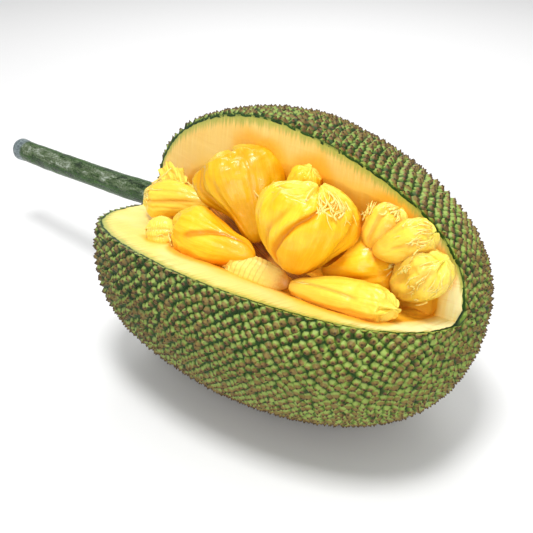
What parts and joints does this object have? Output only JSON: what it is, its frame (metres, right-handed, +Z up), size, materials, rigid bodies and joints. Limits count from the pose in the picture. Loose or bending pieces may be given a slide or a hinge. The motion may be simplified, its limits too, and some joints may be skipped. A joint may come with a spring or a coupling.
{
  "type": "opened jackfruit",
  "caption": "Whole ripe jackfruit on its side with a stalk, a wedge cut out to show golden bulbs in pale pith under a spiny green rind.",
  "frame": {"origin": "middle of the small flat on the rind that the fruit rests on", "axes": "+X along the fruit from the stem end to the blossom end, +Z up, the wedge opens upwards and toward -Y"},
  "size_m": [0.6658, 0.2839, 0.2788],
  "materials": {
    "rind": "spiny green rind, semi matt",
    "bark": "green stalk bark with grey mottling",
    "core": "fibrous and moist",
    "flesh": "wet, glossy fruit flesh",
    "rag": "pale fibrous rag, semi gloss"
  },
  "bodies": {
    "root": {"husk": "rind", "stem": "bark", "core": "core", "bulb_shoulder": "flesh", "bulb_behind": "flesh", "bulb_middle": "flesh", "bulb_upper_right": "flesh", "bulb_far_right": "flesh", "bulb_right": "flesh", "bulb_tip": "flesh", "bulb_front": "flesh", "bulb_left": "flesh", "bulb_stem_upper": "flesh", "bulb_stem_lower": "flesh", "rag_ribbed": "rag", "rag_flap": "rag", "rag_fibre": "rag"}
  },
  "joints": []
}
